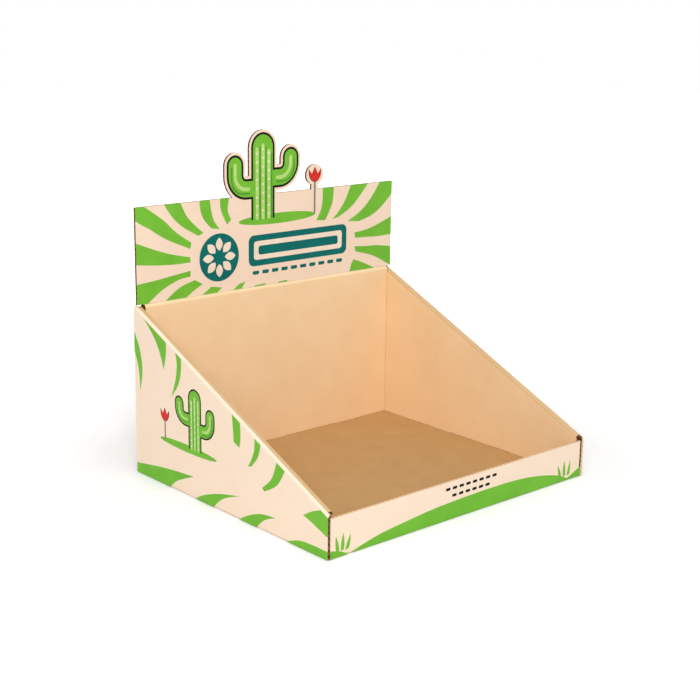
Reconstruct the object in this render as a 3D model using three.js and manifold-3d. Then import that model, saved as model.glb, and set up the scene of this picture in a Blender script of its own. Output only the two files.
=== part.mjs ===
import * as THREE from 'three';
import { mergeVertices } from 'three/addons/utils/BufferGeometryUtils.js';
import Module from 'manifold-3d';

const wasm = await Module();
wasm.setup();

// A counter display box: a tray folded from one corrugated blank, and a die-cut header card.
// Millimetres, +X to the right, +Y to the back, +Z up, origin at the middle of the base's underside.

// Driving dimensions of the tray
const trayWidth = 400;
const trayDepth = 344;
const backHeight = 202.5;
const sideFrontHeight = 49;
const lipHeight = 44;

// The corrugated board, its folds and the room between its layers
const board = 3;
const foldInside = 0.6;
const clearance = 0.3;
const pocketSlack = 0.3;
const foldSteps = 6;

// Tabs at the ends of the lip and of the back wall, tucked into the hollow side walls
const endTabLength = 70;
const endTabRelief = 2;
const endTabHeadroom = 2.5;

// Lock tabs under the rolled-over panels, and the slots they plug into
const lockTabLength = 36;
const sideLockPlaces = [-85, 55];
const backLockPlaces = [-120, 0, 120];

// Driving dimensions of the header card
const headerPanelHeight = 112;
const headerEndInset = 1.5;
const headerTongueDepth = 150;
const headerTongueEndTaper = 12;
const slitBridge = 9;

// The cactus that rises over the header's top edge: a column and two arms, each a round-ended stroke
const cactusX = -16;
const cactusFoot = 26;
const columnRise = 78;
const columnHalfWidth = 21;
const armHalfWidth = 15.5;
const armBend = 17;
const arms = [
  { reach: -42, level: 8, rise: 53 },
  { reach: 43, level: 19, rise: 58 },
];
const strokeSteps = 12;

// The small flower beside the cactus
const flowerX = 66;
const flowerRise = 31;
const flowerHeadWidth = 28;
const flowerHeadHeight = 26;
const flowerStemWidth = 11;
const flowerSteps = 20;

// Sizes that follow from the driving dimensions
const halfWidth = trayWidth / 2;
const halfDepth = trayDepth / 2;
const foldOutside = board + foldInside;
const cavity = board + 2 * clearance;
const doubleWall = 2 * board + cavity;
const pocket = cavity + 2 * pocketSlack;
const backWall = 2 * board + pocket;
const panelSetback = foldOutside + clearance;
const foldedEdge = backHeight - foldOutside - clearance;
const panelFoot = board + clearance;
const endTabX = halfWidth - board - clearance - board / 2;
const foldedPanelHalf = halfWidth - board - clearance - foldOutside;
const rolledBackHalf = halfWidth - doubleWall - clearance;
const sideRise = backHeight - sideFrontHeight;
const sideSlope = sideRise / trayDepth;
const slantStretch = Math.hypot(1, sideSlope);
const slitHalf = rolledBackHalf - slitBridge;
const headerBack = halfDepth - board - pocketSlack - clearance;
const headerFront = headerBack - board;
const headerHalf = halfWidth - headerEndInset;
const headerBottom = backHeight + clearance;
const headerTop = headerBottom + headerPanelHeight;
const endTabFoot = foldOutside + endTabRelief;

// Frames that carry a drawn section into the tray
const axisX = new THREE.Vector3(1, 0, 0);
const axisY = new THREE.Vector3(0, 1, 0);
const axisZ = new THREE.Vector3(0, 0, 1);
const sectionYZ = new THREE.Matrix4().makeBasis(axisY, axisZ, axisX);
const sectionXZ = new THREE.Matrix4().makeBasis(axisX, axisZ, axisY.clone().negate());

/** Closed solid from a geometry, with its shared corners merged. */
function solidOf(geometry) {
  geometry.deleteAttribute('normal');
  geometry.deleteAttribute('uv');
  const merged = mergeVertices(geometry, 1e-4);
  const mesh = new wasm.Mesh({
    numProp: 3,
    vertProperties: new Float32Array(merged.attributes.position.array),
    triVerts: new Uint32Array(merged.index.array),
  });
  mesh.merge();
  return new wasm.Manifold(mesh);
}

/** Geometry of a finished solid, with flat faces. */
function geometryOf(solid) {
  const { vertProperties, triVerts, numProp } = solid.getMesh();
  const positions = new Float32Array(triVerts.length * 3);
  triVerts.forEach((vertex, corner) => {
    for (let axis = 0; axis < 3; axis += 1) {
      positions[corner * 3 + axis] = vertProperties[vertex * numProp + axis];
    }
  });
  const geometry = new THREE.BufferGeometry();
  geometry.setAttribute('position', new THREE.BufferAttribute(positions, 3));
  geometry.computeVertexNormals();
  return mergeVertices(geometry, 1e-5);
}

/** Section drawn in YZ, pushed along X between two places. */
function pushedAlongX(shape, from, to) {
  const geometry = new THREE.ExtrudeGeometry(shape, { depth: to - from, bevelEnabled: false });
  return geometry.applyMatrix4(sectionYZ).translate(from, 0, 0);
}

/** Section drawn in XZ, pushed along Y between two places. */
function pushedAlongY(shape, from, to) {
  const geometry = new THREE.ExtrudeGeometry(shape, { depth: to - from, bevelEnabled: false });
  return geometry.applyMatrix4(sectionXZ).translate(0, to, 0);
}

/** Section drawn in XY, pushed along Z between two places. */
function pushedAlongZ(shape, from, to) {
  const geometry = new THREE.ExtrudeGeometry(shape, { depth: to - from, bevelEnabled: false });
  return geometry.translate(0, 0, from);
}

/** Block between two corners. */
function block(low, high) {
  const size = high.map((value, axis) => value - low[axis]);
  const geometry = new THREE.BoxGeometry(...size);
  return solidOf(geometry.translate(...low.map((value, axis) => value + size[axis] / 2)));
}

/** Outline of a board strip that follows a line of corners and is folded round at each one. */
function foldedStrip(corners) {
  const points = corners.map(([across, up]) => new THREE.Vector2(across, up));
  const headings = points.slice(1).map((point, i) => point.clone().sub(points[i]).normalize());
  const radius = foldInside + board / 2;
  const left = [];
  const right = [];
  const place = (centre, normal) => {
    left.push(centre.clone().addScaledVector(normal, board / 2));
    right.push(centre.clone().addScaledVector(normal, -board / 2));
  };
  const leftOf = (heading) => new THREE.Vector2(-heading.y, heading.x);
  place(points[0], leftOf(headings[0]));
  for (let i = 1; i < points.length - 1; i += 1) {
    const incoming = headings[i - 1];
    const outgoing = headings[i];
    const turn = Math.atan2(incoming.cross(outgoing), incoming.dot(outgoing));
    const side = Math.sign(turn);
    const reach = radius * Math.tan(Math.abs(turn) / 2);
    const start = points[i].clone().addScaledVector(incoming, -reach);
    const hub = start.clone().addScaledVector(leftOf(incoming), side * radius);
    for (let step = 0; step <= foldSteps; step += 1) {
      const centre = start.clone().rotateAround(hub, (turn * step) / foldSteps);
      const normal = centre.clone().sub(hub).normalize().multiplyScalar(-side);
      place(centre, normal);
    }
  }
  place(points[points.length - 1], leftOf(headings[headings.length - 1]));
  return new THREE.Shape([...left, ...right.reverse()]);
}

/** Shears the tops of the side walls up from the front to the back. */
function slantTops(geometry) {
  const foldStart = sideFrontHeight - foldOutside - foldInside;
  const position = geometry.attributes.position;
  for (let i = 0; i < position.count; i += 1) {
    const height = position.getZ(i);
    if (height > foldStart) {
      const rise = (position.getY(i) + halfDepth) * sideSlope;
      const below = (sideFrontHeight - height) * slantStretch;
      position.setZ(i, sideFrontHeight - below + rise);
    }
  }
  return geometry;
}

/** Base with both roll-over side walls: rolled-over panel, slanted fold, outer panel, base. */
function baseWithSideWalls() {
  const inner = halfWidth - doubleWall + board / 2;
  const outer = halfWidth - board / 2;
  const crest = sideFrontHeight - board / 2;
  const strip = foldedStrip([
    [-inner, panelFoot],
    [-inner, crest],
    [-outer, crest],
    [-outer, board / 2],
    [outer, board / 2],
    [outer, crest],
    [inner, crest],
    [inner, panelFoot],
  ]);
  const walls = solidOf(slantTops(pushedAlongY(strip, -halfDepth, halfDepth)));
  const endCut = panelSetback;
  const cutHalf = halfWidth - board;
  const cutTop = backHeight + board;
  const frontCut = block([-cutHalf, -halfDepth - board, -board], [cutHalf, -halfDepth + endCut, cutTop]);
  const backCut = block([-cutHalf, halfDepth - endCut, -board], [cutHalf, halfDepth + board, cutTop]);
  return walls.subtract(frontCut).subtract(backCut);
}

/** Front lip, base and outer back panel, folded up from the base's front and back edges. */
function lipBaseAndBack() {
  const front = -halfDepth + board / 2;
  const back = halfDepth - board / 2;
  const strip = foldedStrip([
    [front, lipHeight],
    [front, board / 2],
    [back, board / 2],
    [back, foldedEdge],
  ]);
  return solidOf(pushedAlongX(strip, -foldedPanelHalf, foldedPanelHalf));
}

/** Panel rolled over the back wall's top and down its inside. */
function rolledBackPanel() {
  const outer = halfDepth - board / 2;
  const inner = halfDepth - backWall + board / 2;
  const crest = backHeight - board / 2;
  const strip = foldedStrip([
    [outer, backHeight / 2],
    [outer, crest],
    [inner, crest],
    [inner, panelFoot],
  ]);
  return solidOf(pushedAlongX(strip, -rolledBackHalf, rolledBackHalf));
}

/** Front lip with a tab folded back at each end. */
function lipWithEndTabs() {
  const front = -halfDepth + board / 2;
  const tabEnd = -halfDepth + foldOutside + endTabLength;
  const strip = foldedStrip([
    [-endTabX, tabEnd],
    [-endTabX, front],
    [endTabX, front],
    [endTabX, tabEnd],
  ]);
  return solidOf(pushedAlongZ(strip, endTabFoot, lipHeight));
}

/** Outer back panel with a tab folded forward at each end, each cut to the slant of the side wall. */
function backWithEndTabs() {
  const back = halfDepth - board / 2;
  const tabEnd = halfDepth - foldOutside - endTabLength;
  const strip = foldedStrip([
    [-endTabX, tabEnd],
    [-endTabX, back],
    [endTabX, back],
    [endTabX, tabEnd],
  ]);
  const panel = solidOf(pushedAlongZ(strip, endTabFoot, foldedEdge));
  const drop = board * slantStretch + endTabHeadroom;
  const slantAt = (place) => sideFrontHeight + (place + halfDepth) * sideSlope - drop;
  const cutStart = tabEnd - board;
  const cutEnd = halfDepth - panelSetback;
  const aboveSlant = new THREE.Shape([
    new THREE.Vector2(cutStart, slantAt(cutStart)),
    new THREE.Vector2(cutEnd, slantAt(cutEnd)),
    new THREE.Vector2(cutEnd, backHeight + board),
    new THREE.Vector2(cutStart, backHeight + board),
  ]);
  return panel.subtract(solidOf(pushedAlongX(aboveSlant, -halfWidth, halfWidth)));
}

/** Footprints of the lock tabs, as corners on the base. */
function lockTabFootprints() {
  const half = lockTabLength / 2;
  const inner = halfWidth - doubleWall;
  const backInner = halfDepth - backWall;
  const footprints = [];
  for (const place of sideLockPlaces) {
    footprints.push({ low: [inner, place - half], high: [inner + board, place + half] });
    footprints.push({ low: [-inner - board, place - half], high: [-inner, place + half] });
  }
  for (const place of backLockPlaces) {
    footprints.push({ low: [place - half, backInner], high: [place + half, backInner + board] });
  }
  return footprints;
}

/** The whole tray: one folded blank. */
function trayBlank() {
  let tray = baseWithSideWalls();
  tray = tray.add(lipBaseAndBack());
  tray = tray.add(lipWithEndTabs());
  tray = tray.add(backWithEndTabs());
  tray = tray.add(rolledBackPanel());
  const slit = block(
    [-slitHalf, headerFront - clearance, backHeight - foldOutside - board],
    [slitHalf, headerBack + clearance, backHeight + board],
  );
  tray = tray.subtract(slit);
  for (const { low, high } of lockTabFootprints()) {
    const slot = block(
      [low[0] - clearance, low[1] - clearance, -board],
      [high[0] + clearance, high[1] + clearance, board + clearance / 2],
    );
    const tab = block([low[0], low[1], clearance], [high[0], high[1], panelFoot + board]);
    tray = tray.subtract(slot).add(tab);
  }
  return tray;
}

/** Outline of a path drawn with a round pen of the given half width. */
function roundStroke(path, half) {
  const last = path.length - 1;
  const heading = (i) => {
    const before = path[Math.max(i - 1, 0)];
    const after = path[Math.min(i + 1, last)];
    return Math.atan2(after.y - before.y, after.x - before.x);
  };
  const offset = (i, angle) => {
    const reach = new THREE.Vector2(Math.cos(angle), Math.sin(angle)).multiplyScalar(half);
    return path[i].clone().add(reach);
  };
  const cap = (i, from) => {
    const points = [];
    for (let step = 1; step < strokeSteps; step += 1) {
      points.push(offset(i, from - (Math.PI * step) / strokeSteps));
    }
    return points;
  };
  const left = path.map((point, i) => offset(i, heading(i) + Math.PI / 2));
  const right = path.map((point, i) => offset(i, heading(i) - Math.PI / 2)).reverse();
  const endCap = cap(last, heading(last) + Math.PI / 2);
  const startCap = cap(0, heading(0) - Math.PI / 2);
  return new THREE.Shape([...left, ...endCap, ...right, ...startCap]);
}

/** Path of one arm: out from the column, round a bend and up to its round tip. */
function armPath({ reach, level, rise }) {
  const side = Math.sign(reach);
  const elbow = cactusX + reach;
  const height = headerTop + level;
  const path = [new THREE.Vector2(cactusX, height)];
  for (let step = 0; step <= strokeSteps; step += 1) {
    const angle = (Math.PI / 2) * (step / strokeSteps);
    const across = elbow - side * armBend * (1 - Math.sin(angle));
    path.push(new THREE.Vector2(across, height + armBend * (1 - Math.cos(angle))));
  }
  path.push(new THREE.Vector2(elbow, headerTop + rise - armHalfWidth));
  return path;
}

/** Outlines of the cactus: its column and its arms. */
function cactusOutlines() {
  const column = [
    new THREE.Vector2(cactusX, headerTop - cactusFoot),
    new THREE.Vector2(cactusX, headerTop + columnRise - columnHalfWidth),
  ];
  const outlines = [roundStroke(column, columnHalfWidth)];
  for (const arm of arms) {
    outlines.push(roundStroke(armPath(arm), armHalfWidth));
  }
  return outlines;
}

/** Outline of the flower: a rounded bud on a straight stem. */
function flowerOutlines() {
  const budCentre = headerTop + flowerRise - flowerHeadHeight / 2;
  const bud = new THREE.Shape();
  bud.absellipse(flowerX, budCentre, flowerHeadWidth / 2, flowerHeadHeight / 2, 0, 2 * Math.PI, false);
  const budRim = new THREE.Shape(bud.getSpacedPoints(flowerSteps).slice(0, -1));
  const half = flowerStemWidth / 2;
  const stem = new THREE.Shape([
    new THREE.Vector2(flowerX - half, headerTop - board),
    new THREE.Vector2(flowerX + half, headerTop - board),
    new THREE.Vector2(flowerX + half, budCentre),
    new THREE.Vector2(flowerX - half, budCentre),
  ]);
  return [budRim, stem];
}

/** Header card: full-width panel on two shoulders, a tongue below it and the die-cut top. */
function headerCard() {
  const tongueHalf = slitHalf - clearance;
  const tongueFoot = headerBottom - headerTongueDepth;
  const plate = new THREE.Shape([
    new THREE.Vector2(-tongueHalf + headerTongueEndTaper, tongueFoot),
    new THREE.Vector2(tongueHalf - headerTongueEndTaper, tongueFoot),
    new THREE.Vector2(tongueHalf, tongueFoot + headerTongueEndTaper),
    new THREE.Vector2(tongueHalf, headerBottom),
    new THREE.Vector2(headerHalf, headerBottom),
    new THREE.Vector2(headerHalf, headerTop),
    new THREE.Vector2(-headerHalf, headerTop),
    new THREE.Vector2(-headerHalf, headerBottom),
    new THREE.Vector2(-tongueHalf, headerBottom),
    new THREE.Vector2(-tongueHalf, tongueFoot + headerTongueEndTaper),
  ]);
  const outlines = [...cactusOutlines(), ...flowerOutlines()];
  let card = solidOf(pushedAlongY(plate, headerFront, headerBack));
  for (const outline of outlines) {
    card = card.add(solidOf(pushedAlongY(outline, headerFront, headerBack)));
  }
  return card;
}

/** Named mesh of one board piece. */
function pieceOf(name, solid, colour) {
  const finish = new THREE.MeshStandardMaterial({ color: colour, roughness: 0.75, metalness: 0 });
  const mesh = new THREE.Mesh(geometryOf(solid), finish);
  mesh.name = name;
  return mesh;
}

const group = new THREE.Group();
group.add(pieceOf('display_tray', trayBlank(), 0xf6dcc4));
group.add(pieceOf('header_card', headerCard(), 0x7bb844));

export default group;
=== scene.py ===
"""Looks of a printed counter display box: a folded corrugated tray with a die-cut header card."""

import logging
import math
from dataclasses import dataclass, field
from enum import Enum

import bmesh
import bpy
from mathutils import Matrix, Vector


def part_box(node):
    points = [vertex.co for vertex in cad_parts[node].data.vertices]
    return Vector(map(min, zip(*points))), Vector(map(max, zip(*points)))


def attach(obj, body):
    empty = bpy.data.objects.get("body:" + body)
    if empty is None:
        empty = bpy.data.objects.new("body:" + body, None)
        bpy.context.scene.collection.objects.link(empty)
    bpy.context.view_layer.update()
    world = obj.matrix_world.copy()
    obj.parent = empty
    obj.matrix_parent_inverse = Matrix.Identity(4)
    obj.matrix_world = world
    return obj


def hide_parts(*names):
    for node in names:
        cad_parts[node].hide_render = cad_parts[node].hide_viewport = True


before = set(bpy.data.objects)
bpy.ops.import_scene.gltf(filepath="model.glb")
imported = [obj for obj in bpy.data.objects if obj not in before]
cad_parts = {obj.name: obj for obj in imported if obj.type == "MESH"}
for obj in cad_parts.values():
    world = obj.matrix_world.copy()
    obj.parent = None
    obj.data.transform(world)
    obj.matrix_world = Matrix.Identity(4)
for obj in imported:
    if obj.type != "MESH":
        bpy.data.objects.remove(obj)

logging.basicConfig(level=logging.INFO, format="%(message)s")
LOG = logging.getLogger("display")

MM = 0.001
SAME_POINT_MM = 0.01
CUT_SLACK = 1e-7
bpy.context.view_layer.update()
Point = tuple[float, float]


def linear(hex_code: str) -> tuple[float, float, float, float]:
    """Turns an sRGB hex colour into linear values.

    Args:
        hex_code: Six hex digits, such as "F8DFCB".

    Returns:
        Linear red, green and blue, with an alpha of one.
    """
    channels = [int(hex_code[i : i + 2], 16) / 255 for i in (0, 2, 4)]
    bent = [c / 12.92 if c <= 0.04045 else ((c + 0.055) / 1.055) ** 2.4 for c in channels]
    return (bent[0], bent[1], bent[2], 1.0)


def add_node(
    tree: bpy.types.NodeTree,
    kind: str,
    settings: dict | None = None,
    values: dict | None = None,
    links: dict | None = None,
) -> bpy.types.Node:
    """Adds one node with its settings, socket values and incoming links.

    Args:
        tree: The node tree to add to.
        kind: The node's type name.
        settings: Properties of the node itself.
        values: Input sockets, by name or number, and their values.
        links: Input sockets, by name or number, and the sockets that feed them.

    Returns:
        The new node.
    """
    node = tree.nodes.new(kind)
    for name, value in (settings or {}).items():
        setattr(node, name, value)
    for socket, value in (values or {}).items():
        node.inputs[socket].default_value = value
    for socket, source in (links or {}).items():
        tree.links.new(source, node.inputs[socket])
    return node


class Board(Enum):
    """The faces that a sheet of corrugated board shows."""

    OUTER_PRINTED = 0
    ROLLED_LINER = 1
    INNER_KRAFT = 2
    RAW_EDGE = 3
    PALE_EDGE = 4
    # Tan liner on the side folds' tops, darkened as painted shade so the up-facing fold reads no
    # brighter than the wall
    PAINTED_SHADE_FOLD_LINER = 5


@dataclass(frozen=True)
class LinerFinish:
    """Paper liner of corrugated board: matte, a little mottled, with faint flute lines.

    The flutes press through the liner, so it gets shallow ridges a flute pitch apart.
    """

    name: str
    colour: str
    shade: str
    roughness: float
    flute_pitch_mm: float = 6.4
    flute_axis: str = "X"
    flute_depth_mm: float = 0.05
    fibre_mm: float = 0.7
    blotch_mm: float = 34.0
    blotch_amount: float = 0.5

    def material(self) -> bpy.types.Material:
        """Builds the liner's node material.

        Returns:
            The material.
        """
        made = bpy.data.materials.new(self.name)
        made.use_nodes = True
        tree = made.node_tree
        shader = tree.nodes["Principled BSDF"]
        shader.inputs["Roughness"].default_value = self.roughness
        shader.inputs["Specular IOR Level"].default_value = 0.35
        place = add_node(tree, "ShaderNodeTexCoord").outputs["Object"]
        blotches = add_node(
            tree, "ShaderNodeTexNoise",
            values={"Scale": 1 / (self.blotch_mm * MM), "Detail": 3.0, "Roughness": 0.55},
            links={"Vector": place},
        )
        fibres = add_node(
            tree, "ShaderNodeTexNoise",
            values={"Scale": 1 / (self.fibre_mm * MM), "Detail": 2.0, "Roughness": 0.6},
            links={"Vector": place},
        )
        mixed = add_node(
            tree, "ShaderNodeMath", {"operation": "MULTIPLY_ADD"}, {1: 0.35},
            {0: fibres.outputs["Fac"], 2: blotches.outputs["Fac"]},
        )
        spread = add_node(
            tree, "ShaderNodeMapRange",
            values={"From Min": 0.45, "From Max": 0.95, "To Min": 0.0, "To Max": self.blotch_amount},
            links={"Value": mixed.outputs[0]},
        )
        tint = add_node(
            tree, "ShaderNodeMix", {"data_type": "RGBA"},
            {"A": linear(self.colour), "B": linear(self.shade)},
            {"Factor": spread.outputs["Result"]},
        )
        tree.links.new(tint.outputs["Result"], shader.inputs["Base Color"])
        flutes = add_node(
            tree, "ShaderNodeTexWave",
            {"wave_type": "BANDS", "bands_direction": self.flute_axis, "wave_profile": "SIN"},
            {"Scale": math.tau / 20 / (self.flute_pitch_mm * MM), "Distortion": 0.6, "Detail": 1.0},
            {"Vector": place},
        )
        height = add_node(
            tree, "ShaderNodeMath", {"operation": "MULTIPLY_ADD"}, {1: 0.25},
            {0: fibres.outputs["Fac"], 2: flutes.outputs["Fac"]},
        )
        bump = add_node(
            tree, "ShaderNodeBump",
            values={"Strength": 0.55, "Distance": self.flute_depth_mm * MM},
            links={"Height": height.outputs[0]},
        )
        tree.links.new(bump.outputs["Normal"], shader.inputs["Normal"])
        return made


@dataclass(frozen=True)
class CutEdgeFinish:
    """Knife-cut edge of corrugated board: brown papers, with the flutes' hollows between them painted
    dark as shade.
    """

    name: str
    paper: str
    painted_hollow_shade: str
    flute_pitch_mm: float = 6.4
    grain_mm: float = 1.6

    def material(self) -> bpy.types.Material:
        """Builds the cut edge's node material.

        Returns:
            The material.
        """
        made = bpy.data.materials.new(self.name)
        made.use_nodes = True
        tree = made.node_tree
        shader = tree.nodes["Principled BSDF"]
        shader.inputs["Roughness"].default_value = 0.9
        shader.inputs["Specular IOR Level"].default_value = 0.2
        place = add_node(tree, "ShaderNodeTexCoord").outputs["Object"]
        apart = add_node(tree, "ShaderNodeSeparateXYZ", links={"Vector": place})
        along = add_node(
            tree, "ShaderNodeMath", {"operation": "ADD"},
            links={0: apart.outputs["X"], 1: apart.outputs["Z"]},
        )
        turns = add_node(
            tree, "ShaderNodeMath", {"operation": "MULTIPLY"},
            {1: math.tau / (self.flute_pitch_mm * MM)}, {0: along.outputs[0]},
        )
        wave = add_node(tree, "ShaderNodeMath", {"operation": "SINE"}, links={0: turns.outputs[0]})
        grain = add_node(
            tree, "ShaderNodeTexNoise",
            values={"Scale": 1 / (self.grain_mm * MM), "Detail": 3.0}, links={"Vector": place},
        )
        blend = add_node(
            tree, "ShaderNodeMath", {"operation": "MULTIPLY_ADD"}, {1: 0.35},
            {0: wave.outputs[0], 2: grain.outputs["Fac"]},
        )
        # Painted shade: a wave across the edge darkens the flute hollows towards the second colour,
        # between stripes of the paper's own brown
        tint = add_node(
            tree, "ShaderNodeMix", {"data_type": "RGBA", "clamp_factor": True},
            {"A": linear(self.painted_hollow_shade), "B": linear(self.paper)}, {"Factor": blend.outputs[0]},
        )
        tree.links.new(tint.outputs["Result"], shader.inputs["Base Color"])
        return made


@dataclass(frozen=True)
class InkFinish:
    """Flexo-printed ink film: even colour with a slightly uneven lay, on matte paper."""

    name: str
    colour: str
    uneven: str
    roughness: float = 0.6
    specular: float = 0.25
    patch_mm: float = 26.0

    def material(self) -> bpy.types.Material:
        """Builds the ink's node material.

        Returns:
            The material.
        """
        made = bpy.data.materials.new(self.name)
        made.use_nodes = True
        tree = made.node_tree
        shader = tree.nodes["Principled BSDF"]
        shader.inputs["Roughness"].default_value = self.roughness
        shader.inputs["Specular IOR Level"].default_value = self.specular
        place = add_node(tree, "ShaderNodeTexCoord").outputs["Object"]
        patches = add_node(
            tree, "ShaderNodeTexNoise",
            values={"Scale": 1 / (self.patch_mm * MM), "Detail": 4.0, "Roughness": 0.6},
            links={"Vector": place},
        )
        spread = add_node(
            tree, "ShaderNodeMapRange", values={"From Min": 0.35, "From Max": 0.7},
            links={"Value": patches.outputs["Fac"]},
        )
        tint = add_node(
            tree, "ShaderNodeMix", {"data_type": "RGBA"},
            {"A": linear(self.colour), "B": linear(self.uneven)},
            {"Factor": spread.outputs["Result"]},
        )
        tree.links.new(tint.outputs["Result"], shader.inputs["Base Color"])
        return made


@dataclass
class Finishes:
    """All the finishes of the display, built once."""

    made: dict[str, bpy.types.Material] = field(default_factory=dict)

    def get(self, finish: LinerFinish | CutEdgeFinish | InkFinish) -> bpy.types.Material:
        """Returns the finish's material, built the first time it is asked for."""
        if finish.name not in self.made:
            self.made[finish.name] = finish.material()
        return self.made[finish.name]


CREAM_LINER = LinerFinish("cream_printed_liner", "FAE3CC", "F5D8BE", 0.62)
HEADER_LINER = LinerFinish("cream_header_liner", "F5DDC6", "EFD1B6", 0.62)
TAN_LINER = LinerFinish("tan_unprinted_liner", "F8D8AD", "EFC997", 0.68)
# Darker copy of the tan liner: painted shade for the up-facing tops and inner bends of the side folds
PAINTED_SHADE_FOLD_LINER = LinerFinish("tan_liner_painted_shade_over_the_fold", "D6B284", "CDA777", 0.68)
KRAFT_LINER = LinerFinish("kraft_inner_liner", "BE9662", "B08654", 0.75)
# The second colour of each cut edge is the painted shade of its flute hollows
CUT_EDGE = CutEdgeFinish("knife_cut_fluted_edge", "8A6238", "3A2410")
PALE_EDGE = CutEdgeFinish("knife_cut_edge_along_flutes", "F0D2AC", "D9B287")
GREEN_INK = InkFinish("green_flexo_ink", "74BD33", "6BB32C")
LIGHT_GREEN_INK = InkFinish("light_green_flexo_ink", "B6DC7C", "A9D36B")
DEEP_GREEN_INK = InkFinish("deep_green_flexo_ink", "4F9A2A", "458E24")
TEAL_INK = InkFinish("teal_flexo_ink", "006E68", "006560", specular=0.12)
BLACK_INK = InkFinish("black_flexo_ink", "14140F", "1C1B16", specular=0.12)
RED_INK = InkFinish("red_flexo_ink", "DC2A20", "CF221A")
GREY_INK = InkFinish("grey_flexo_ink", "7C7F7C", "6F726F")
CREAM_INK = InkFinish("cream_flexo_ink", "F6E3D0", "F0D9C3")


@dataclass
class TrayShape:
    """Sizes of the folded tray, in metres, read from the frame where it gives them."""

    board: float = 3.0 * MM
    double_wall: float = 9.6 * MM
    back_wall: float = 10.2 * MM
    fold_outside: float = 3.6 * MM
    side_front: float = 49.0 * MM
    lip_height: float = 44.0 * MM
    ink_room: float = 0.3 * MM
    low: Vector = field(default_factory=lambda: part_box("display_tray")[0])
    high: Vector = field(default_factory=lambda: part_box("display_tray")[1])

    @property
    def half_width(self) -> float:
        """Half the tray's width."""
        return (self.high.x - self.low.x) / 2

    @property
    def half_depth(self) -> float:
        """Half the tray's depth."""
        return (self.high.y - self.low.y) / 2

    @property
    def back_height(self) -> float:
        """Height of the back wall."""
        return self.high.z

    def crest(self, y: float) -> float:
        """Height of a side wall's top fold at a place from front to back."""
        share = (y + self.half_depth) / (2 * self.half_depth)
        return self.side_front + share * (self.back_height - self.side_front)


@dataclass
class PrintPlane:
    """Carries a flat drawing, in millimetres, onto one panel of the board.

    The drawing's first axis runs along the panel and its second axis runs up. Ink stands a hair
    above the board, layer by layer.
    """

    origin: Vector
    along: Vector
    up: Vector
    outward: Vector
    ink: float = 0.05 * MM

    def at(self, across: float, height: float, layer: float) -> Vector:
        """Place of a drawing's point, on the underside of an ink layer."""
        flat = self.origin + self.along * (across * MM) + self.up * (height * MM)
        return flat + self.outward * (self.ink * layer)


@dataclass
class Clip:
    """A straight border that cuts a drawing: what lies beyond it is taken off."""

    point: Point
    beyond: Point


class InkFilm:
    """Closed ink shapes of one colour on one panel, joined in one mesh.

    Each shape stands a trace above the one before, so that no two faces coincide.
    """

    step = 0.2
    levels = 4

    def __init__(self, name: str, plane: PrintPlane, finish: InkFinish, layer: int = 0) -> None:
        """Starts an empty film.

        Args:
            name: Name of the finished piece.
            plane: The panel that carries it.
            finish: The ink.
            layer: How many ink layers lie under it.
        """
        self.name = name
        self.plane = plane
        self.finish = finish
        self.layer = layer
        self.count = 0
        self.mesh = bmesh.new()

    def add(self, outline: list[Point], clips: list[Clip] | None = None) -> None:
        """Adds one filled outline.

        Args:
            outline: Corners of the shape in the drawing, in order.
            clips: Borders that cut the shape.
        """
        shape = bmesh.new()
        height = self.layer + self.step * self.count
        self.count = (self.count + 1) % self.levels
        corners = [shape.verts.new(self.plane.at(a, h, height)) for a, h in outline]
        shape.faces.new(corners).normal_update()
        bmesh.ops.triangulate(shape, faces=shape.faces[:])
        for clip in clips or []:
            point = self.plane.at(clip.point[0], clip.point[1], height)
            normal = self.plane.along * clip.beyond[0] + self.plane.up * clip.beyond[1]
            geometry = shape.verts[:] + shape.edges[:] + shape.faces[:]
            bmesh.ops.bisect_plane(
                shape, geom=geometry, dist=CUT_SLACK, plane_co=point, plane_no=normal, clear_outer=True
            )
        if shape.faces:
            pushed = bmesh.ops.extrude_face_region(shape, geom=shape.faces[:])
            raised = [g for g in pushed["geom"] if isinstance(g, bmesh.types.BMVert)]
            bmesh.ops.translate(shape, vec=self.plane.outward * self.plane.ink, verts=raised)
            bmesh.ops.recalc_face_normals(shape, faces=shape.faces[:])
            kept = bpy.data.meshes.new("shape")
            shape.to_mesh(kept)
            self.mesh.from_mesh(kept)
            bpy.data.meshes.remove(kept)
        shape.free()

    def finish_piece(self, finishes: Finishes, slot: str) -> bpy.types.Object:
        """Makes the film an object that rides on the display.

        Args:
            finishes: The store of materials.
            slot: The record's material slot; not used.

        Returns:
            The finished piece.
        """
        data = bpy.data.meshes.new(self.name)
        self.mesh.to_mesh(data)
        self.mesh.free()
        data.materials.append(finishes.get(self.finish))
        piece = bpy.data.objects.new(self.name, data)
        bpy.context.scene.collection.objects.link(piece)
        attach(piece, "root")
        LOG.info("%s: %d faces", self.name, len(data.polygons))
        return piece


def bow(start: Point, end: Point, sag: float, steps: int = 12) -> list[Point]:
    """Points of a shallow arc between two points.

    Args:
        start: First point.
        end: Last point.
        sag: How far its middle stands to the left of the straight line.
        steps: Number of stretches.

    Returns:
        The points, both ends included.
    """
    dx, dy = end[0] - start[0], end[1] - start[1]
    length = math.hypot(dx, dy)
    left = (-dy / length, dx / length)
    points = []
    for step in range(steps + 1):
        share = step / steps
        lift = sag * 4 * share * (1 - share)
        along = (start[0] + dx * share, start[1] + dy * share)
        points.append((along[0] + left[0] * lift, along[1] + left[1] * lift))
    return points


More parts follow.
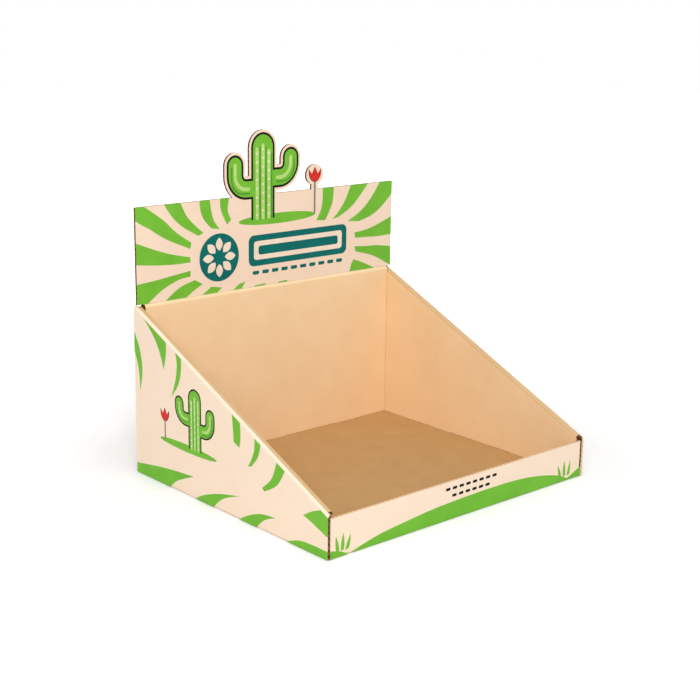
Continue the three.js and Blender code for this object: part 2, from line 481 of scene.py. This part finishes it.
def smooth(points: tuple[Point, ...], steps: int = 6) -> list[Point]:
    """Curve that passes through a few points.

    Args:
        points: The points to pass through.
        steps: Number of stretches between two of them.

    Returns:
        Points along the curve, both ends included.
    """
    if len(points) < 3:
        return list(points)
    padded = [points[0], *points, points[-1]]
    curve = []
    for before, start, end, after in zip(padded, padded[1:], padded[2:], padded[3:]):
        for step in range(steps):
            t = step / steps
            curve.append(
                tuple(
                    0.5 * (2 * b + (c - a) * t + (2 * a - 5 * b + 4 * c - d) * t**2)
                    + 0.5 * (3 * b - a - 3 * c + d) * t**3
                    for a, b, c, d in zip(before, start, end, after)
                )
            )
    curve.append(points[-1])
    return curve


@dataclass(frozen=True)
class CurvedField:
    """A field of colour between two smooth sides, each given by a few points, in millimetres."""

    there: tuple[Point, ...]
    back: tuple[Point, ...]

    def outline(self) -> list[Point]:
        """Outline of the field, without repeated points."""
        points = smooth(self.there) + smooth(self.back)
        return [
            point for i, point in enumerate(points) if math.dist(point, points[i - 1]) > SAME_POINT_MM
        ]


def ellipse(centre: Point, half_width: float, half_height: float, steps: int = 40) -> list[Point]:
    """Outline of an ellipse."""
    turns = [math.tau * step / steps for step in range(steps)]
    x, y = centre
    return [(x + half_width * math.cos(a), y + half_height * math.sin(a)) for a in turns]


def rounded_bar(low: Point, high: Point, radius: float, steps: int = 8) -> list[Point]:
    """Outline of a rectangle with round corners.

    Args:
        low: Its lower left corner.
        high: Its upper right corner.
        radius: Radius of the corners.
        steps: Stretches in each corner.

    Returns:
        The outline's points.
    """
    corners = [
        ((high[0] - radius, high[1] - radius), 0.0),
        ((low[0] + radius, high[1] - radius), 0.25),
        ((low[0] + radius, low[1] + radius), 0.5),
        ((high[0] - radius, low[1] + radius), 0.75),
    ]
    points = []
    for centre, start in corners:
        for step in range(steps + 1):
            angle = math.tau * (start + 0.25 * step / steps)
            arm = (radius * math.cos(angle), radius * math.sin(angle))
            points.append((centre[0] + arm[0], centre[1] + arm[1]))
    return points


def round_stroke(path: list[Point], half: float, cap_steps: int = 12) -> list[Point]:
    """Outline of a path drawn with a round pen.

    Args:
        path: Points along the middle of the stroke.
        half: Half the pen's width.
        cap_steps: Stretches in each round end.

    Returns:
        The outline's points.
    """
    last = len(path) - 1

    def heading(i: int) -> float:
        """Direction of the path at one of its points."""
        before, after = path[max(i - 1, 0)], path[min(i + 1, last)]
        return math.atan2(after[1] - before[1], after[0] - before[0])

    def offset(i: int, angle: float) -> Point:
        """Point half a pen away from the path, in a direction."""
        return (path[i][0] + half * math.cos(angle), path[i][1] + half * math.sin(angle))

    def cap(i: int, start: float) -> list[Point]:
        """Inner points of a round end."""
        return [offset(i, start - math.pi * step / cap_steps) for step in range(1, cap_steps)]

    quarter = math.pi / 2
    left = [offset(i, heading(i) + quarter) for i in range(last + 1)]
    right = [offset(i, heading(i) - quarter) for i in range(last, -1, -1)]
    return left + cap(last, heading(last) + quarter) + right + cap(0, heading(0) - quarter)


@dataclass
class CactusPrint:
    """Printed cactus: a black-edged green column with two arms, light ribs and pale spines."""

    plane: PrintPlane
    finishes: Finishes
    label: str
    slot: str
    foot: Point
    scale: float = 1.0
    column_rise: float = 87.0
    column_half: float = 21.0
    arm_half: float = 15.5
    arm_bend: float = 17.0
    arms: tuple[tuple[float, float, float], ...] = ((-42.0, 38.0, 67.5), (43.0, 49.0, 72.5))
    border: float = 3.2
    edge: float = 2.8
    layer: int = 1
    bend_steps: int = 12
    light_ribs: tuple[Point, ...] = ((-9.0, 6.0), (0.0, 2.0), (9.0, 9.0))
    light_half: float = 2.3
    deep_ribs: tuple[float, ...] = (-4.5, 4.5, 13.2)
    deep_half: float = 1.0
    rib_overrun: float = 4.0
    shade_spread: float = 1.12
    shade_drop: float = 5.0
    shade_short: float = 3.0
    spine_rows: int = 8
    spine_pitch: float = 10.5
    spine_columns: tuple[Point, ...] = ((-9.0, 6.0), (0.0, 11.0), (9.0, 6.0))
    spine_taper: float = 0.6
    spine_reach: Point = (1.6, 1.0)
    spine_half: float = 0.4

    def place(self, across: float, up: float) -> Point:
        """Carries a point of the full-size cactus, measured from its foot, onto the panel."""
        return (self.foot[0] + self.scale * across, self.foot[1] + self.scale * up)

    def stroke(self, path: list[Point], half: float) -> list[Point]:
        """Outline of a stroke of the full-size cactus, on the panel."""
        return round_stroke([self.place(*point) for point in path], half * self.scale)

    def arm_path(self, reach: float, level: float, tip: float, start: float = 0.0) -> list[Point]:
        """Path of one arm: out from the column, round a bend and up.

        Args:
            reach: Place of its upright part, from the column's middle.
            level: Height at which it leaves the column.
            tip: Height at which its upright part ends.
            start: Distance from the column's middle at which the path starts.

        Returns:
            The path's points.
        """
        side = math.copysign(1, reach)
        path = [(side * start, level)]
        for step in range(self.bend_steps + 1):
            angle = math.pi / 2 * step / self.bend_steps
            across = reach - side * self.arm_bend * (1 - math.sin(angle))
            path.append((across, level + self.arm_bend * (1 - math.cos(angle))))
        path.append((reach, tip))
        return path

    def draw(self) -> None:
        """Makes the cactus's ink films."""
        paths = [([(0.0, 0.0), (0.0, self.column_rise)], self.column_half)]
        for reach, level, tip in self.arms:
            paths.append((self.arm_path(reach, level, tip), self.arm_half))
        ground = [Clip(self.foot, (0, -1))]
        insets = ((BLACK_INK, self.border), (GREEN_INK, self.border + self.edge))
        for layer, (finish, inset) in enumerate(insets, self.layer):
            film = InkFilm(f"{self.label}_{finish.name}", self.plane, finish, layer)
            for path, half in paths:
                film.add(self.stroke(path, half - inset), ground)
            film.finish_piece(self.finishes, self.slot)
        self.draw_ribs(self.layer + len(insets), ground)

    def draw_ribs(self, layer: int, ground: list[Clip]) -> None:
        """Makes the light and deep ribs and the spines.

        Args:
            layer: How many ink layers lie under them.
            ground: The line that the cactus stands on, as a clip.
        """
        light = InkFilm(f"{self.label}_light_ribs", self.plane, LIGHT_GREEN_INK, layer)
        deep = InkFilm(f"{self.label}_deep_ribs", self.plane, DEEP_GREEN_INK, layer)
        foot, top = -self.rib_overrun, self.column_rise + self.rib_overrun
        for across, lower in self.light_ribs:
            rib = [(across, foot), (across, top - lower)]
            light.add(self.stroke(rib, self.light_half), ground)
        for across in self.deep_ribs:
            rib = [(across, foot), (across, top - abs(across))]
            deep.add(self.stroke(rib, self.deep_half), ground)
        for reach, level, tip in self.arms:
            middle = self.arm_path(reach, level, tip, self.column_half + 1)
            light.add(self.stroke(middle, self.light_half))
            outer = self.arm_path(
                reach * self.shade_spread, level - self.shade_drop, tip - self.shade_short,
                self.column_half,
            )
            deep.add(self.stroke(outer, self.deep_half))
        for film in (light, deep):
            film.finish_piece(self.finishes, self.slot)
        spines = InkFilm(f"{self.label}_spines", self.plane, CREAM_INK, layer + 1)
        wide, tall = self.spine_reach
        for row in range(self.spine_rows):
            for across, rise in self.spine_columns:
                height = rise + self.spine_pitch * row
                if height < self.column_rise - abs(across) * self.spine_taper:
                    for lean in (-wide, wide):
                        low, high = (across - lean, height - tall), (across + lean, height + tall)
                        spines.add(self.stroke([low, high], self.spine_half))
        spines.finish_piece(self.finishes, self.slot)


@dataclass
class FlowerPrint:
    """Printed flower: a red cup of petals with a black edge on a grey stem."""

    plane: PrintPlane
    finishes: Finishes
    label: str
    slot: str
    foot: Point
    stem: float = 47.0
    scale: float = 1.0
    layer: int = 1
    stem_half: float = 1.3
    cup_half: float = 9.0
    cup_rise: float = 9.5
    cup_edge: float = 1.0
    cup_steps: int = 14

    def cup(self, grow: float) -> list[Point]:
        """Outline of the petals.

        Args:
            grow: Margin to grow them by.

        Returns:
            The outline's points.
        """
        x, y = self.foot[0], self.foot[1] + self.stem * self.scale
        wide = self.cup_half * self.scale + grow
        high = self.cup_rise * self.scale + grow
        rim = [(x + wide, y + high * 0.75), (x + wide * 0.5, y + high * 0.15)]
        rim += [(x, y + high), (x - wide * 0.5, y + high * 0.15), (x - wide, y + high * 0.75)]
        for step in range(1, self.cup_steps):
            angle = math.pi + math.pi * step / self.cup_steps
            rim.append((x + wide * math.cos(angle), y + high * 0.4 + high * 1.2 * math.sin(angle)))
        return rim

    def draw(self) -> None:
        """Makes the flower's ink films."""
        x, y = self.foot
        half, top = self.stem_half * self.scale, y + self.stem * self.scale
        stem = InkFilm(f"{self.label}_stem", self.plane, GREY_INK, self.layer)
        stem.add([(x - half, y), (x + half, y), (x + half, top), (x - half, top)])
        edge = InkFilm(f"{self.label}_petal_edge", self.plane, BLACK_INK, self.layer + 1)
        edge.add(self.cup(self.cup_edge * self.scale))
        petals = InkFilm(f"{self.label}_petals", self.plane, RED_INK, self.layer + 2)
        petals.add(self.cup(0.0))
        for film in (stem, edge, petals):
            film.finish_piece(self.finishes, self.slot)


@dataclass(frozen=True)
class PhotoCamera:
    """The camera of the photo, in metres, degrees and millimetres of lens."""

    place: tuple[float, float, float] = (-1.03847, -1.13274, 0.55076)
    azimuth: float = -41.975
    elevation: float = 14.567
    roll: float = 0.894
    lens_mm: float = 70.467
    sensor_mm: float = 36.0


@dataclass(frozen=True)
class Softbox:
    """A round soft lamp aimed at the tray, in metres and watts."""

    name: str
    place: tuple[float, float, float]
    size: float
    power: float


SOFTBOXES = (
    Softbox("key_softbox", (-1.7, -1.8, 1.5), 1.5, 34.0),
    Softbox("top_softbox", (-0.2, -0.5, 2.6), 1.4, 15.0),
)
# Where the lamps point, the strength of the room's fill light and half the floor's width
LAMP_AIM = Vector((0, 0, 0.12))
FILL_LEVEL = 0.62
SWEEP_HALF = 6.0


def studio(shape: TrayShape) -> None:
    """Sets the camera of the photo, the floor, the backdrop light and the soft lamps.

    Args:
        shape: The tray, for the floor's height.
    """
    scene = bpy.context.scene
    scene.view_settings.view_transform = "Standard"
    photo = PhotoCamera()
    camera_data = bpy.data.cameras.new("photo_camera")
    camera_data.sensor_width = photo.sensor_mm
    camera_data.lens = photo.lens_mm
    camera = bpy.data.objects.new("photo_camera", camera_data)
    scene.collection.objects.link(camera)
    azimuth, elevation = math.radians(photo.azimuth), math.radians(photo.elevation)
    back = Vector(
        (
            math.sin(azimuth) * math.cos(elevation),
            -math.cos(azimuth) * math.cos(elevation),
            math.sin(elevation),
        )
    )
    roll = Matrix.Rotation(math.radians(photo.roll), 4, "Z")
    turn = (-back).to_track_quat("-Z", "Y").to_matrix().to_4x4() @ roll
    camera.matrix_world = Matrix.Translation(Vector(photo.place)) @ turn
    scene.camera = camera

    world = bpy.data.worlds.new("studio_world")
    world.use_nodes = True
    scene.world = world
    tree = world.node_tree
    tree.nodes.clear()
    rays = add_node(tree, "ShaderNodeLightPath")
    seen = add_node(
        tree, "ShaderNodeMath", {"operation": "MAXIMUM"},
        links={0: rays.outputs["Is Camera Ray"], 1: rays.outputs["Is Glossy Ray"]},
    )
    paper = linear("FFFFFF")
    fill = add_node(tree, "ShaderNodeBackground", values={"Color": paper, "Strength": FILL_LEVEL})
    white = add_node(tree, "ShaderNodeBackground", values={"Color": paper, "Strength": 1.0})
    mixed = add_node(
        tree, "ShaderNodeMixShader",
        links={0: seen.outputs[0], 1: fill.outputs[0], 2: white.outputs[0]},
    )
    add_node(tree, "ShaderNodeOutputWorld", links={0: mixed.outputs[0]})

    for box in SOFTBOXES:
        light = bpy.data.lights.new(box.name, "AREA")
        light.shape = "DISK"
        light.size = box.size
        light.energy = box.power
        lamp = bpy.data.objects.new(box.name, light)
        scene.collection.objects.link(lamp)
        place = Vector(box.place)
        turn = (LAMP_AIM - place).to_track_quat("-Z", "Y").to_matrix().to_4x4()
        lamp.matrix_world = Matrix.Translation(place) @ turn

    ground = bmesh.new()
    bmesh.ops.create_grid(ground, x_segments=1, y_segments=1, size=SWEEP_HALF)
    bmesh.ops.translate(ground, vec=(0, 0, shape.low.z), verts=ground.verts[:])
    data = bpy.data.meshes.new("white_sweep")
    ground.to_mesh(data)
    ground.free()
    sweep = bpy.data.objects.new("white_sweep", data)
    scene.collection.objects.link(sweep)
    data.materials.append(sweep_material())


def sweep_material() -> bpy.types.Material:
    """Matte white paper sweep, lit from behind away from the tray, so only its shadow shows.

    Returns:
        The material.
    """
    made = bpy.data.materials.new("white_paper_sweep")
    made.use_nodes = True
    tree = made.node_tree
    tree.nodes.clear()
    matte = add_node(
        tree, "ShaderNodeBsdfDiffuse", values={"Color": linear("F3F3F3"), "Roughness": 0.5}
    )
    place = add_node(tree, "ShaderNodeTexCoord").outputs["Object"]
    reach = add_node(tree, "ShaderNodeVectorMath", {"operation": "LENGTH"}, links={0: place})
    strength = add_node(
        tree, "ShaderNodeMapRange",
        values={"From Min": 0.32, "From Max": 1.0, "To Min": 0.0, "To Max": 0.7},
        links={"Value": reach.outputs["Value"]},
    )
    glow = add_node(
        tree, "ShaderNodeEmission", values={"Color": linear("FFFFFF")},
        links={"Strength": strength.outputs["Result"]},
    )
    both = add_node(tree, "ShaderNodeAddShader", links={0: matte.outputs[0], 1: glow.outputs[0]})
    rays = add_node(tree, "ShaderNodeLightPath")
    mixed = add_node(
        tree, "ShaderNodeMixShader",
        links={0: rays.outputs["Is Camera Ray"], 1: matte.outputs[0], 2: both.outputs[0]},
    )
    add_node(tree, "ShaderNodeOutputMaterial", links={0: mixed.outputs[0]})
    return made


# Least part of a face's normal along a direction for the face to look, lean, rise or sink that way
FACING = 0.9
LEANING = 0.35
RISING = 0.15
SINKING = 0.2
# Slack in comparing places on the board
NEAR = 0.2 * MM
# How far down from a crest its fold reaches, in outer radii of the fold: the reach of the darker tan
# painted as shade over the fold
CREST_REACH = 1.2
# Corners of the CAD's loose triangles that are closer than this are one
SAME_CORNER = 1e-6


class TrayPiece:
    """The folded tray: the CAD sheet with each liner and cut edge in its own finish, and a darker tan
    painted as shade on the side folds' tops.
    """

    def __init__(self, shape: TrayShape, finishes: Finishes) -> None:
        """Keeps the tray's sizes and the store of finishes."""
        self.shape = shape
        self.finishes = finishes

    def side_of_board(self, centre: Vector, normal: Vector) -> Board:
        """Tells which face of the board a face of the tray is.

        Args:
            centre: The face's middle.
            normal: Its outward direction.

        Returns:
            The kind of board surface.
        """
        s = self.shape
        side = abs(centre.x)
        out_x = normal.x * math.copysign(1, centre.x)
        skin = s.half_width - s.fold_outside
        outer_panel = side > s.half_width - s.board + NEAR
        if centre.z < s.fold_outside and normal.z < -SINKING:
            return Board.OUTER_PRINTED
        if side > skin and out_x > LEANING:
            return Board.OUTER_PRINTED
        if outer_panel and abs(normal.y) > FACING:
            return Board.PALE_EDGE if centre.x > 0 else Board.RAW_EDGE
        if not outer_panel and centre.y < -s.half_depth + s.fold_outside and normal.y < -LEANING:
            return Board.OUTER_PRINTED
        if not outer_panel and centre.y > s.half_depth - s.fold_outside and normal.y > LEANING:
            return Board.OUTER_PRINTED
        over_side = side > s.half_width - s.double_wall - NEAR
        crest_foot = s.crest(centre.y) - s.fold_outside * CREST_REACH
        # The side folds' tops and inner bends take the darker tan, a painted shade that evens out the
        # light falling on them from above
        if over_side and normal.z > RISING and centre.z > crest_foot:
            return Board.PAINTED_SHADE_FOLD_LINER
        over_back = centre.y > s.half_depth - s.back_wall - NEAR and side < s.half_width - s.double_wall
        if over_back and normal.z > RISING and centre.z > s.back_height - s.fold_outside:
            return Board.ROLLED_LINER
        if out_x < -FACING and abs(side - (s.half_width - s.double_wall)) < NEAR:
            return Board.ROLLED_LINER
        if normal.y < -FACING and abs(centre.y - (s.half_depth - s.back_wall)) < NEAR and side < skin:
            return Board.ROLLED_LINER
        if normal.z > FACING and abs(centre.z - s.board) < NEAR:
            return Board.INNER_KRAFT
        if abs(normal.z) < FACING and abs(normal.y) > FACING and centre.z < s.lip_height:
            return Board.INNER_KRAFT
        at_lip = centre.y < -s.half_depth + s.fold_outside and centre.z < s.lip_height + NEAR
        if normal.z > FACING and at_lip:
            return Board.PALE_EDGE
        return Board.RAW_EDGE

    def build(self) -> bpy.types.Object:
        """Makes the tray's piece from the CAD sheet.

        Returns:
            The tray.
        """
        sheet = bmesh.new()
        sheet.from_mesh(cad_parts["display_tray"].data)
        bmesh.ops.remove_doubles(sheet, verts=sheet.verts[:], dist=SAME_CORNER)
        sheet.normal_update()
        for face in sheet.faces:
            face.smooth = False
            kind = self.side_of_board(face.calc_center_median(), face.normal)
            face.material_index = kind.value
        shrink = (
            1 - self.shape.ink_room / self.shape.half_width,
            1 - self.shape.ink_room / self.shape.half_depth,
            1.0,
        )
        bmesh.ops.scale(sheet, vec=shrink, verts=sheet.verts[:])
        data = bpy.data.meshes.new("folded_tray")
        sheet.to_mesh(data)
        sheet.free()
        faces = (CREAM_LINER, TAN_LINER, KRAFT_LINER, CUT_EDGE, PALE_EDGE, PAINTED_SHADE_FOLD_LINER)
        for finish in faces:
            data.materials.append(self.finishes.get(finish))
        piece = bpy.data.objects.new("folded_tray", data)
        bpy.context.scene.collection.objects.link(piece)
        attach(piece, "root")
        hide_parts("display_tray")
        LOG.info("folded_tray: %d faces", len(data.polygons))
        return piece


class HeaderPiece:
    """The die-cut header card."""

    def __init__(self, finishes: Finishes) -> None:
        """Keeps the store of finishes."""
        self.finishes = finishes

    def build(self) -> bpy.types.Object:
        """Makes the header's piece from the CAD card.

        Returns:
            The header.
        """
        card = bmesh.new()
        card.from_mesh(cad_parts["header_card"].data)
        bmesh.ops.remove_doubles(card, verts=card.verts[:], dist=SAME_CORNER)
        card.normal_update()
        for face in card.faces:
            face.smooth = False
            face.material_index = 0 if abs(face.normal.y) > FACING else 1
        data = bpy.data.meshes.new("header_board")
        card.to_mesh(data)
        card.free()
        for finish in (HEADER_LINER, CUT_EDGE):
            data.materials.append(self.finishes.get(finish))
        piece = bpy.data.objects.new("header_board", data)
        bpy.context.scene.collection.objects.link(piece)
        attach(piece, "root")
        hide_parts("header_card")
        LOG.info("header_board: %d faces", len(data.polygons))
        return piece


HEADER_RAYS = (
    CurvedField(
        ((-191, 318), (-162, 298), (-143, 281), (-122, 267)),
        ((-124, 260), (-156, 274), (-179, 288), (-202, 303), (-204, 322)),
    ),
    CurvedField(
        ((-203, 276), (-173, 264), (-149, 256), (-124, 250)),
        ((-124, 244), (-146, 244), (-173, 246), (-205, 250)),
    ),
    CurvedField(
        ((-205, 226), (-177, 228), (-150, 231), (-124, 234)),
        ((-124, 227), (-141, 225), (-164, 216), (-192, 198), (-206, 198)),
    ),
    CurvedField(
        ((-166, 198), (-141, 215), (-118, 222)),
        ((-107, 216), (-122, 208), (-138, 198)),
    ),
    CurvedField(
        ((-115, 198), (-94, 211)),
        ((-78, 208), (-95, 197)),
    ),
    CurvedField(
        ((-68, 198), (-53, 209)),
        ((-43, 211), (-54, 196)),
    ),
    CurvedField(
        ((-32, 200), (-29, 204)),
        ((-12, 205), (-14, 200)),
    ),
    CurvedField(
        ((6, 200), (8, 204)),
        ((22, 205), (23, 200)),
    ),
    CurvedField(
        ((-163, 320), (-148, 299), (-133, 286), (-112, 274)),
        ((-105, 277), (-118, 288), (-129, 300), (-139, 320)),
    ),
    CurvedField(
        ((-111, 321), (-108, 301), (-102, 290), (-93, 281)),
        ((-81, 279), (-89, 289), (-93, 301), (-96, 321)),
    ),
    CurvedField(
        ((-80, 320), (-80, 305), (-76, 294), (-70, 283)),
        ((-64, 289), (-68, 296), (-69, 304), (-66, 319)),
    ),
    CurvedField(
        ((79, 319), (79, 300), (76, 287), (69, 275)),
        ((84, 274), (91, 286), (96, 298), (98, 319)),
    ),
    CurvedField(
        ((128, 319), (119, 300), (109, 286), (96, 274)),
        ((106, 276), (126, 286), (140, 298), (158, 317)),
    ),
    CurvedField(
        ((179, 318), (162, 296), (145, 281), (122, 269)),
        ((141, 267), (163, 273), (182, 284), (203, 304), (203, 318)),
    ),
    CurvedField(
        ((204, 270), (174, 260), (154, 255), (134, 253)),
        ((135, 246), (157, 245), (177, 244), (205, 245)),
    ),
    CurvedField(
        ((205, 227), (175, 232), (155, 233), (134, 235)),
        ((136, 228), (158, 222), (176, 215), (205, 199)),
    ),
    CurvedField(
        ((178, 199), (149, 212), (133, 218)),
        ((129, 212), (124, 197)),
    ),
)

SIDE_GRASS = (
    CurvedField(
        ((173, 204), (150, 189), (130, 171), (119, 154), (113, 138)),
        ((113, 138), (108, 156), (108, 172), (116, 200)),
    ),
    CurvedField(
        ((173, 174), (161, 153), (156, 129), (161, 103)),
        ((161, 103), (164, 130), (173, 151)),
    ),
    CurvedField(
        ((92, 168), (87, 153), (89, 134), (98, 110)),
        ((98, 110), (85, 126), (79, 144), (79, 164)),
    ),
    CurvedField(
        ((-14, 118), (-16, 99), (-17, 86)),
        ((-27, 82), (-29, 94), (-28, 112)),
    ),
    CurvedField(
        ((-53, 102), (-52, 84), (-42, 65)),
        ((-48, 67), (-59, 80), (-64, 97)),
    ),
    CurvedField(
        ((-91, 86), (-82, 63), (-66, 48)),
        ((-70, 45), (-91, 58), (-105, 79)),
    ),
    CurvedField(
        ((-162, 52), (-147, 46), (-133, 38)),
        ((-133, 38), (-147, 34), (-161, 29), (-173, 27), (-173, 50)),
    ),
    CurvedField(
        ((173, 12), (113, 21), (57, 26)),
        ((57, 26), (88, 13), (115, -3), (173, -3)),
    ),
    CurvedField(
        ((60, -3), (40, 9), (7, 20), (-27, 27)),
        ((-27, 27), (2, 16), (25, -3)),
    ),
    CurvedField(
        ((-20, -3), (-42, 10), (-64, 18), (-89, 21)),
        ((-89, 21), (-70, 13), (-52, -3)),
    ),
    CurvedField(
        ((-102, -1), (-126, 8), (-149, 10), (-173, 10)),
        ((-173, 10), (-173, -1)),
    ),
)

LIP_GRASS = (
    CurvedField(
        ((-198, 10), (-185, 7), (-171, 1)),
        ((-171, -2), (-198, -2)),
    ),
    CurvedField(
        (
            (-172, 0), (-156, 5), (-128, 11), (-94, 15), (-53, 19), (-10, 21), (38, 22),
            (88, 21), (123, 17), (152, 11), (173, 3),
        ),
        ((176, -2), (-173, -2)),
    ),
    CurvedField(
        ((171, 2), (185, 8), (199, 14)),
        ((199, -2), (171, -2)),
    ),
)


@dataclass
class HeaderPrint:
    """Print on the header: curved rays round a bare middle, a blank name plate and a rosette."""

    plane: PrintPlane
    finishes: Finishes
    half_width: float = 198.5
    low: float = 202.8
    high: float = 314.8
    slot: str = "header_board"
    hub: Point = (-82.0, 245.0)
    hub_radius: float = 29.0
    petals: int = 8
    petal_reach: Point = (8.0, 24.0)
    petal_sag: float = 5.0
    plate: tuple[Point, Point, float] = ((-38, 228), (120, 266), 8)
    plate_field: tuple[Point, Point, float] = ((-30, 235.5), (112, 258.5), 4)
    plate_core: tuple[Point, Point, float] = ((-23, 241.5), (105, 252.5), 3)
    dash_places: range = range(-32, 110, 15)
    dash_foot: float = 217.5
    dash: Point = (10.0, 4.5)
    dash_round: float = 1.5
    mound: tuple[Point, float, float] = ((7, 284.0), 60, 6.5)
    cactus_foot: Point = (-16.0, 284.8)
    flower_foot: Point = (66.0, 285.0)

    def borders(self) -> list[Clip]:
        """The card's straight borders, as clips."""
        return [
            Clip((-self.half_width, 0), (-1, 0)),
            Clip((self.half_width, 0), (1, 0)),
            Clip((0, self.low), (0, -1)),
            Clip((0, self.high), (0, 1)),
        ]

    def film(self, name: str, finish: InkFinish, outlines: list[list[Point]], layer: int = 0) -> None:
        """Makes one ink film of the header.

        Args:
            name: Name of the film.
            finish: The ink.
            outlines: Its filled shapes.
            layer: How many ink layers lie under it.
        """
        ink = InkFilm(name, self.plane, finish, layer)
        for outline in outlines:
            ink.add(outline, self.borders())
        ink.finish_piece(self.finishes, self.slot)

    def petal(self, angle: float) -> list[Point]:
        """Outline of one petal of the rosette.

        Args:
            angle: Its direction from the rosette's middle.

        Returns:
            The outline's points.
        """
        base, tip = (
            (self.hub[0] + reach * math.cos(angle), self.hub[1] + reach * math.sin(angle))
            for reach in self.petal_reach
        )
        return bow(base, tip, self.petal_sag)[:-1] + bow(tip, base, self.petal_sag)[:-1]

    def draw(self) -> None:
        """Makes the header's ink films."""
        self.film("header_rays", GREEN_INK, [ray.outline() for ray in HEADER_RAYS])
        length, height = self.dash
        foot, top = self.dash_foot, self.dash_foot + height
        dashes = [rounded_bar((x, foot), (x + length, top), self.dash_round) for x in self.dash_places]
        disc = ellipse(self.hub, self.hub_radius, self.hub_radius)
        self.film("header_plate", TEAL_INK, [rounded_bar(*self.plate), *dashes, disc])
        petals = [self.petal(math.tau * petal / self.petals) for petal in range(self.petals)]
        self.film("header_plate_field", CREAM_INK, [rounded_bar(*self.plate_field), *petals], 1)
        self.film("header_plate_core", TEAL_INK, [rounded_bar(*self.plate_core)], 2)
        self.film("header_mound", GREEN_INK, [ellipse(*self.mound)])
        CactusPrint(self.plane, self.finishes, "header_cactus", self.slot, self.cactus_foot).draw()
        FlowerPrint(self.plane, self.finishes, "header_flower", self.slot, self.flower_foot).draw()


@dataclass
class SidePrint:
    """Print on a side panel: curved grass along its borders, a small cactus and a flower."""

    label: str
    plane: PrintPlane
    finishes: Finishes
    shape: TrayShape
    slot: str = "printed_board"
    crest_margin: float = 3.0
    foot_margin: float = 1.0
    mound: tuple[Point, float, float] = ((68, 56), 54, 4.5)
    cactus_foot: Point = (54.0, 57.0)
    cactus_scale: float = 0.68
    flower_foot: Point = (112.0, 56.0)
    flower_stem: float = 34.0
    flower_scale: float = 0.85

    def borders(self) -> list[Clip]:
        """Borders of the panel, with the slant of its top fold.

        Returns:
            The borders, as clips.
        """
        s = self.shape
        front = (s.half_depth - s.ink_room) / MM
        rise = (s.back_height - s.side_front) / (2 * s.half_depth)
        return [
            Clip((front, 0), (1, 0)),
            Clip((-front, 0), (-1, 0)),
            Clip((-front, s.side_front / MM - self.crest_margin), (-rise, 1)),
            Clip((0, self.foot_margin), (0, -1)),
        ]

    def draw(self) -> None:
        """Makes the side's ink films. Places run from the front edge, -172, to the back, 172."""
        green = InkFilm(f"{self.label}_grass", self.plane, GREEN_INK)
        for blade in SIDE_GRASS:
            green.add(blade.outline(), self.borders())
        green.add(ellipse(*self.mound))
        green.finish_piece(self.finishes, self.slot)
        CactusPrint(
            self.plane, self.finishes, f"{self.label}_cactus", self.slot, self.cactus_foot,
            scale=self.cactus_scale,
        ).draw()
        FlowerPrint(
            self.plane, self.finishes, f"{self.label}_flower", self.slot, self.flower_foot,
            stem=self.flower_stem, scale=self.flower_scale,
        ).draw()


@dataclass
class LipPrint:
    """Print on the front lip: a low hill, tufts of grass near the ends and two dashed lines."""

    plane: PrintPlane
    finishes: Finishes
    shape: TrayShape
    slot: str = "printed_board"
    half: float = 196.2
    foot_margin: float = 1.0
    tufts: tuple[Point, ...] = ((-186, -3), (-180, 1), (-174, 5), (160, -5), (167, -1), (174, 3))
    tuft_height: float = 27.0
    tuft_foot: Point = (2.0, 6.0)
    tuft_sag: float = 1.0
    dash: Point = (7.0, 3.2)
    dash_pitch: float = 10.5
    dash_round: float = 1.3
    dash_rows: tuple[tuple[float, float, int], ...] = ((34.5, -32.0, 8), (26.0, -22.0, 6))

    def draw(self) -> None:
        """Makes the lip's ink films."""
        top = self.shape.lip_height / MM
        borders = [
            Clip((-self.half, 0), (-1, 0)),
            Clip((self.half, 0), (1, 0)),
            Clip((0, self.foot_margin), (0, -1)),
            Clip((0, top), (0, 1)),
        ]
        green = InkFilm("lip_grass", self.plane, GREEN_INK)
        for hill in LIP_GRASS:
            green.add(hill.outline(), borders)
        half, foot = self.tuft_foot
        for x, lean in self.tufts:
            tip = (x + lean, self.tuft_height - abs(lean))
            rising = bow((x - half, foot), tip, self.tuft_sag)[:-1]
            falling = bow(tip, (x + half, foot), self.tuft_sag)[:-1]
            green.add(rising + falling, borders)
        green.finish_piece(self.finishes, self.slot)
        black = InkFilm("lip_dashes", self.plane, BLACK_INK)
        length, height = self.dash
        for low, start, count in self.dash_rows:
            for dash in range(count):
                x = start + self.dash_pitch * dash
                black.add(rounded_bar((x, low), (x + length, low + height), self.dash_round))
        black.finish_piece(self.finishes, self.slot)


def main() -> None:
    """Builds the display piece by piece."""
    shape = TrayShape()
    finishes = Finishes()
    studio(shape)
    TrayPiece(shape, finishes).build()
    HeaderPiece(finishes).build()
    up, right, back = Vector((0, 0, 1)), Vector((1, 0, 0)), Vector((0, 1, 0))
    header_low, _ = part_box("header_card")
    HeaderPrint(PrintPlane(Vector((0, header_low.y, 0)), right, up, -back), finishes).draw()
    inset = right * (shape.half_width - shape.ink_room)
    SidePrint("left", PrintPlane(-inset, back, up, -right), finishes, shape).draw()
    SidePrint("right", PrintPlane(inset, back, up, right), finishes, shape).draw()
    lip_face = -back * (shape.half_depth - shape.ink_room)
    LipPrint(PrintPlane(lip_face, right, up, -back), finishes, shape).draw()


if __name__ == "__main__":
    main()
